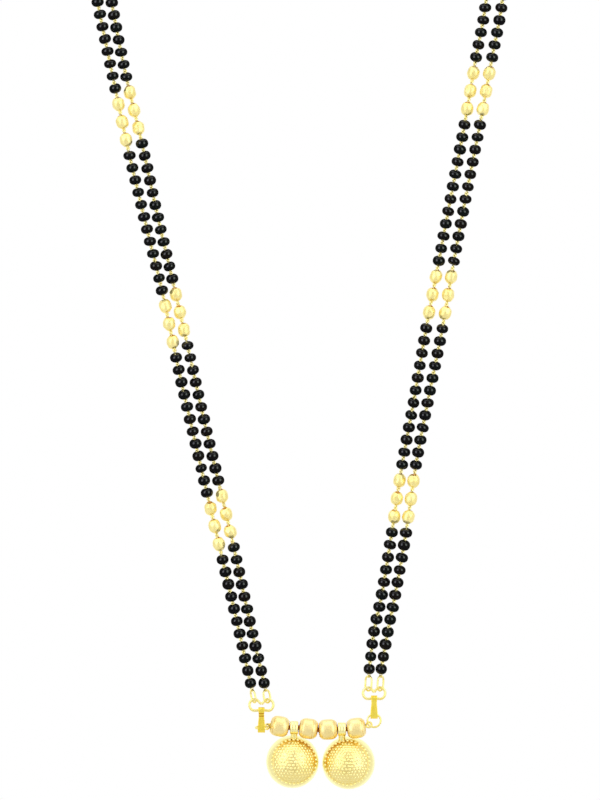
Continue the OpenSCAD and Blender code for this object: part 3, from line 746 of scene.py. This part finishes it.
def vati(side):
    """A vati with its neck and bail: a dome with dots and grains, open at the back."""
    mesh = Mesh()
    middle = bail_place[side] + vec(SHIFTS[side], BACK, -DROPS[side])
    f = rot((0, 0, 1), -sign(side) * VATI_TURN) @ rot((1, 0, 0), -VATI_TILT)

    def put(v):
        return np.asarray(v) @ f.T + middle

    v, faces, tone = dome(math.radians(INWARD[side]))
    mesh.add(put(v), [tuple(reversed(q)) for q in faces], tone=tone)
    # inside of the bowl
    t = np.radians(np.linspace(0.5, 90, 40))
    inner = [((VATI_R - WALL) * math.sin(x), (VATI_R - WALL) * math.cos(x)) for x in t]
    v, faces = lathe(inner, 96)
    turn = np.array([[1, 0, 0], [0, 0, -1], [0, 1, 0]], float)
    mesh.add(put(v @ turn.T), faces, mat=1)
    # rolled lip
    lip = [(VATI_R - LIP_D / 2 + LIP_D / 2 * math.cos(x), LIP_D / 2 * math.sin(x))
           for x in np.linspace(0, 2 * math.pi, 14, endpoint=False)]
    v, faces = lathe(lip, 128, closed=True)
    mesh.add(put(v @ turn.T), faces)
    # soldered grains, a little larger towards the other vati
    gr = VATI_R * sind(GRAIN_ANGLE)
    gy = -VATI_R * cosd(GRAIN_ANGLE)
    ball = [(math.sin(x), -math.cos(x)) for x in np.linspace(0.15, math.pi - 0.15, 10)]
    for i in range(GRAINS):
        a = 360 * (i + 0.5) / GRAINS
        c = vec(gr * cosd(a), gy, -gr * sind(a))
        near = 0.5 + 0.5 * cosd(a + INWARD[side])
        v, faces = lathe(np.array(ball) * GRAIN_D / 2 * (0.84 + 0.16 * near), 14, cap=True)
        mesh.add(put(v @ frame_of(unit(c)).T + c), faces)
    # neck, flared at both ends, and grooved bail
    neck_way = unit(vec(0, BACK, -DROPS[side]))
    reach = math.hypot(BACK, DROPS[side]) - math.sqrt((VATI_R - WALL / 2) ** 2 - SHIFTS[side] ** 2)
    start = BAIL_D / 2 - NECK_D / 3
    prof = []
    for q in np.linspace(0, 1, 9):
        flare = 0.2 * (abs(2 * q - 1) ** 2)
        prof.append((NECK_D / 2 + 0.08 + 0.6 * flare, start + (reach - start) * q))
    v, faces = lathe(prof, 24, cap=True)
    mesh.add(v @ frame_of(neck_way).T + bail_place[side], faces)
    prof, tone = bail_profile()
    v, faces = lathe(prof, 64, closed=True)
    mesh.add(v @ frame_of((1, 0, 0)).T + bail_place[side], faces, tone=np.repeat(tone, 64))
    name = SIDE_NAMES[side]
    obj = mesh.object("vati_dome_" + name, [polished, satin], "vati_" + name)
    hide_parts("vati_" + name)


vati(0)
vati(1)


# ---------------------------------------------------------------- bar and drum beads

BAR_TIP_R = 0.21
HUB_BORE_R = 0.8
BELT_SOFT, LINE_DEPTH, LINE_W = 0.13, 0.05, 0.05


def bar():
    """The bowed wire through bails and drum beads, thinned to its tips, and its two eyes."""
    mesh = Mesh()
    pts = [bar_end[0], outer_bend[0], bail_place[0], inner_bend[0], MIDDLE, inner_bend[1],
           bail_place[1], outer_bend[1], bar_end[1]]
    path = []
    for i in range(len(pts) - 1):
        for q in np.linspace(0, 1, 10, endpoint=i == len(pts) - 2):
            path.append(pts[i] + (pts[i + 1] - pts[i]) * q)
    path = np.array(path)
    soft = path.copy()
    soft[1:-1] = (path[:-2] + 2 * path[1:-1] + path[2:]) / 4
    s = lengths_along(soft)
    radii = [BAR_TIP_R + (BAR_D / 2 - BAR_TIP_R) * min(1, min(x, s[-1] - x) / TAPER) ** 0.8
             for x in s]
    # painted shade: the bar is dark where it shows between the beads, bright beyond them
    hidden = ((soft[:, 0] > outer_bend[0][0] - DRUM_W / 2)
              & (soft[:, 0] < outer_bend[1][0] + DRUM_W / 2))
    mesh.add(*sweep(soft, radii, 20), tone=np.repeat(np.where(hidden, 0.0, PLAIN), 20))
    up = vec(0, 0, 1)
    for c, u in ((left_eye, unit(vec(cosd(YAW), sind(YAW), 0))), (right_eye, vec(1, 0, 0))):
        mesh.add(*sweep(torus_path(c, u, up, EYE_R, 36), EYE_D / 2, 14, closed=True,
                        ref=np.cross(u, up)))
    obj = mesh.object("bar_wire", [wire_gold])
    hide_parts("pendant_wire")


def drum(number, place, way, lines):
    """A ball turned down to a belt and cut flat at both ends, with fine lines by the belt.
    A low hub stands round the bore at each end. Painted shade: the metal is dark in the fine lines
    and where it meets the next piece, and lighter on the outer face of the first and the last
    bead."""
    end = DRUM_W / 2
    ball = math.hypot(end, FACE_R)
    belt = DRUM_D / 2 + 0.015
    prof = [(HUB_BORE_R, -end + 0.08), (HUB_BORE_R, -end - 0.10), (1.2, -end - 0.07),
            (1.25, -end), (FACE_R - 0.05, -end)]
    # painted shade: dark at the hub where the bead meets the next piece
    tone = [0.0, 0.0, 0.0, 0.05, 0.15]
    for z in np.linspace(-end + 0.03, end - 0.03, 61):
        r = math.sqrt(ball ** 2 - z ** 2)
        r = belt - BELT_SOFT * math.log1p(math.exp(min((belt - r) / BELT_SOFT, 30)))
        dip = sum(math.exp(-((z - q) / LINE_W) ** 2) for q in lines)
        prof.append((r - LINE_DEPTH * dip, z))
        # painted shade: darker in the fine lines and close to each flat end
        tone.append(PLAIN - 0.36 * min(dip, 1) - 0.3 * math.exp(-((end - abs(z)) / 0.12) ** 2))
    prof += [(FACE_R - 0.05, end), (1.25, end), (1.2, end + 0.07),
             (HUB_BORE_R, end + 0.10), (HUB_BORE_R, end - 0.08)]
    # painted shade at this hub too, but lighter on the open outer faces of the first and the last
    # bead
    tone += [0.4, 0.4, 0.4, 0.3, 0.2] if number in (1, 4) else [0.15, 0.05, 0.0, 0.0, 0.0]
    v, faces = lathe(prof, 72, closed=True)
    mesh = Mesh()
    mesh.add(v @ frame_of(way).T + place, faces, tone=np.repeat(tone, 72))
    obj = mesh.object("satin_drum_%d" % number, [satin])
    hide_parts("drum_bead_%d" % number)


bar()
drum(1, outer_drum[0], outer_way(0), (1.55,))
drum(2, inner_drum[0], inner_way(0), (-1.0, 1.6))
drum(3, inner_drum[1], inner_way(1), (1.6,))
drum(4, outer_drum[1], outer_way(1), (1.5,))


# ---------------------------------------------------------------- rings and hooks

BUTT_GAP = 0.05                     # between the cut ends of a ring's wire
LOOP_STEPS, WAIST_POINT = 5, 14     # steps between a double ring's points; where it is cut
STRIP_EDGE = 0.06
WALL_ROWS, BEND_ROWS = 96, 17
FOLDS, FOLD_DEPTH, FOLD_W = (0.70, 0.83), 0.06, 0.026       # two dents in the left strip


def jump_ring(name, node, points, wire_d, gap_at, ref, sides=16):
    """A ring of wire with its two cut ends butted together at the point gap_at."""
    p = np.roll(np.asarray(points, float), -gap_at, axis=0)
    closed = np.concatenate([p, p[:1]])
    s = lengths_along(closed)
    at = np.linspace(BUTT_GAP / 2, s[-1] - BUTT_GAP / 2, len(p) + 1)
    path = np.column_stack([np.interp(at, s, closed[:, a]) for a in range(3)])
    mesh = Mesh()
    mesh.add(*rounded_ends(path, wire_d / 2, sides, ref))
    obj = mesh.object(name, [wire_gold])
    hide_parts(node)


def double_ring(side):
    """A ring with two lobes, for the two strands of a side."""
    off = LOBE_X[side]
    half = [[0.4 * off, 0, -WAIST_LOW]] + [[off + LOBE_W * cosd(a), 0, LOBE_H * sind(a)]
                                           for a in range(-100, 141, 20)]
    loop = half + [[0, 0, WAIST_TOP]] + [[-q[0], 0, q[2]] for q in reversed(half)] \
        + [[0, 0, -WAIST_LOW]]
    loop = smooth_loop(loop, LOOP_STEPS) + double_mid[side]
    name = SIDE_NAMES[side]
    jump_ring("two_lobe_ring_" + name, "double_ring_" + name, loop, DOUBLE_D,
              LOOP_STEPS * WAIST_POINT, vec(0, 1, 0), sides=18)


def strand_ring(k):
    """An oval ring between a double ring and the eye of a strand."""
    side = side_of(k)
    straight = SRING_H[side] - SRING_W
    loop = [(end * SRING_W * cosd(a), 0, end * (straight + SRING_W * sind(a)))
            for end in (1, -1) for a in range(0, 181, 9)]
    f = strand_ring_frame(k)
    mid = ring_foot[k] + SRING_H[side] * strand_way(k)
    jump_ring("oval_ring_" + NAMES[k], "strand_ring_" + NAMES[k], np.array(loop) @ f.T + mid,
              RING_D, 19, f @ vec(0, 1, 0))


def hook(side):
    """A flat strip folded round the wire at its foot and the wire at its top."""
    length = STRIP_L[side]
    foot_r = RING_D / 2 / cosd(LEAVE) + FOOT_BEND / 2 + CLEAR
    top_r = DOUBLE_D / 2 + CLEAR
    widths = [(-2, STRIP_FOOT / 2), (0.1, STRIP_FOOT / 2), (length * 0.3, STRIP_WAIST / 2 + 0.15),
              (length * 0.65, STRIP_WAIST / 2), (length * 0.8, STRIP_WAIST / 2),
              (length, STRIP_TOP / 2), (length + 2, STRIP_TOP / 2)]
    heights, halves = zip(*widths)
    # the strip's inner face runs up the front, over the top, down the back and under the foot;
    # a row is its place in y and z, and the way out from there
    rows = []
    for q in np.linspace(0, 1, WALL_ROWS, endpoint=False):
        r = foot_r + (top_r - foot_r) * q
        rows.append((-r, length * q, -1, 0))
    for a in np.linspace(180, 0, BEND_ROWS):
        rows.append((top_r * cosd(a), length + top_r * sind(a), cosd(a), sind(a)))
    for q in np.linspace(1, 0, WALL_ROWS, endpoint=False)[1:]:
        r = foot_r + (top_r - foot_r) * q
        rows.append((r, length * q, 1, 0))
    for a in np.linspace(0, -180, BEND_ROWS)[:-1]:
        rows.append((foot_r * cosd(a), foot_r * sind(a), cosd(a), sind(a)))
    verts, tone = [], []
    e = STRIP_EDGE
    for y, z, ny, nz in rows:
        w = np.interp(z, heights, halves)
        dent = 0
        if side == 0 and ny < -0.5:
            for fold in FOLDS:
                dent += FOLD_DEPTH * math.exp(-((z / length - fold) / FOLD_W) ** 2)
        out = STRIP_T - dent
        ring = [(-w + e, out), (w - e, out), (w, out - e), (w, e), (w - e, 0), (-w + e, 0),
                (-w, e), (-w, out - e)]
        for x, t in ring:
            verts.append((x, y + ny * t, z + nz * t))
            # painted shade in the two dents; the left strip is also a touch darker all over
            tone.append(max(PLAIN - 0.06 * (side == 0) - 8 * dent, 0))
    mesh = Mesh()
    mesh.add(np.array(verts) + hook_foot[side], grid_faces(len(rows), 8, closed=True), tone=tone)
    name = SIDE_NAMES[side]
    obj = mesh.object("strip_" + name, [strip_gold])
    bevel = obj.modifiers.new("edges", "BEVEL")
    bevel.width = 0.03 * MM
    bevel.segments = 2
    bevel.limit_method = "ANGLE"
    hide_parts("strip_hook_" + name)


tilt = rot((1, 0, 0), LEVEL)
jump_ring("jump_ring_left", "end_ring_left",
          torus_path(left_ring, tilt @ vec(1, 0, 0), tilt @ vec(0, 1, 0), RING_R, 72),
          RING_D, 30, tilt @ vec(0, 0, 1))
jump_ring("jump_ring_right", "end_ring_right",
          torus_path(right_ring, vec(1, 0, 0), vec(0, 0, 1), RING_R, 72),
          RING_D, 66, vec(0, 1, 0))
double_ring(0)
double_ring(1)
for k in range(4):
    strand_ring(k)
hook(0)
hook(1)


# ---------------------------------------------------------------- floor, light, camera
# Metres from here on.

FLOOR_R, FLOOR_Z, FLOOR_SIDES = 2.6, -0.6, 96
PENDANT = (0, -0.08, -0.14)
TENT_MIDDLE, TENT_AWAY, TENT_SIZE = vec(0, -0.08, -0.12), 3, (6, 6)
# the way to each wall of the tent, and its radiance
TENT = {"front": (0, -1, 0, 0.68), "back": (0, 1, 0, 1.05), "left": (-1, 0, 0, 0.82),
        "right": (1, 0, 0, 0.82), "above": (0, 0, 1, 0.80), "below": (0, 0, -1, 0.82)}
GLINT_TINTS = [(0.88, 0.88, 1.0), (0.88, 1.0, 0.90)]
ROOM, PAPER = 0.08, 1.0         # the world's strength for surfaces, and for the camera
CAMERA_AT, LENS, SENSOR = (0.0005, -0.830, -0.124), 135, 36


def floor():
    mesh = bpy.data.meshes.new("floor")
    n = FLOOR_SIDES
    mesh.from_pydata([(FLOOR_R * math.cos(2 * math.pi * i / n),
                       FLOOR_R * math.sin(2 * math.pi * i / n), FLOOR_Z)
                      for i in range(n)], [], [tuple(range(n))])
    obj = bpy.data.objects.new("floor", mesh)
    bpy.context.scene.collection.objects.link(obj)
    m, _, bsdf = material("studio_floor")
    bsdf.inputs["Base Color"].default_value = grey(0.96)
    bsdf.inputs["Roughness"].default_value = 0.9
    mesh.materials.append(m)
    # the floor bounces light, but isn't mirrored in the gold and glass, and casts no shadow
    obj.visible_glossy = False
    obj.visible_shadow = False


def light(name, place, target, size, radiance, colour=(1, 1, 1)):
    """An area light at place, turned to target, whose face has the given radiance."""
    data = bpy.data.lights.new(name, "AREA")
    data.shape = "RECTANGLE"
    data.size, data.size_y = size
    data.energy = radiance * math.pi * size[0] * size[1]
    data.color = colour
    obj = bpy.data.objects.new(name, data)
    obj.location = place
    obj.rotation_euler = (Vector(target) - Vector(place)).to_track_quat("-Z", "Y").to_euler()
    bpy.context.scene.collection.objects.link(obj)
    return obj


def receivers(name):
    """A collection of the black glass, for light linking."""
    collection = bpy.data.collections.new(name)
    for obj in dark:
        collection.objects.link(obj)
    return collection


floor()
light("soft_top", (0, -0.15, 0.75), (0, -0.08, -0.1), (1.1, 0.9), 0.8)

# a light linked to beads_only falls on the black glass alone, one linked to screen on all
# but the black glass
beads_only = receivers("glass_beads")
screen = receivers("screened_from_the_tent")
for entry in screen.collection_objects:
    entry.light_linking.link_state = "EXCLUDE"

# on each side in front, a tall soft light for the gold and one for the glints on the glass
for side in (0, 1):
    x, name = sign(side), SIDE_NAMES[side]
    glow = light("glow_" + name, (x * 0.62, -0.73, 0.04), PENDANT, (0.55, 1.1), 1.35)
    glint = light("glint_" + name, (x * 0.60, -0.74, 0.10), PENDANT, (0.50, 0.80), 2.7,
                  GLINT_TINTS[side])
    glow.light_linking.receiver_collection = screen
    glint.light_linking.receiver_collection = beads_only

# a white tent of light round the metal and the floor, screened off the black glass
for name, (x, y, z, radiance) in TENT.items():
    place = TENT_MIDDLE + TENT_AWAY * vec(x, y, z)
    wall = light("tent_" + name, place.tolist(), TENT_MIDDLE.tolist(), TENT_SIZE, radiance)
    wall.light_linking.receiver_collection = screen

world = bpy.data.worlds.new("studio")
bpy.context.scene.world = world
world.use_nodes = True
nt = world.node_tree
room = nt.nodes["Background"]
room.inputs["Color"].default_value = grey(1)
room.inputs["Strength"].default_value = ROOM
paper = nt.nodes.new("ShaderNodeBackground")
paper.inputs["Color"].default_value = grey(1)
paper.inputs["Strength"].default_value = PAPER
rays = nt.nodes.new("ShaderNodeLightPath")
mix = nt.nodes.new("ShaderNodeMixShader")
nt.links.new(rays.outputs["Is Camera Ray"], mix.inputs["Fac"])
nt.links.new(room.outputs["Background"], mix.inputs[1])
nt.links.new(paper.outputs["Background"], mix.inputs[2])
nt.links.new(mix.outputs["Shader"], nt.nodes["World Output"].inputs["Surface"])

cam_data = bpy.data.cameras.new("camera")
cam = bpy.data.objects.new("camera", cam_data)
bpy.context.scene.collection.objects.link(cam)
cam.location = CAMERA_AT
cam.rotation_euler = (math.radians(90), 0, 0)
cam_data.sensor_fit = "VERTICAL"
cam_data.sensor_height = SENSOR
cam_data.lens = LENS
cam_data.clip_start = 0.01
bpy.context.scene.camera = cam
bpy.context.scene.view_settings.view_transform = "Standard"
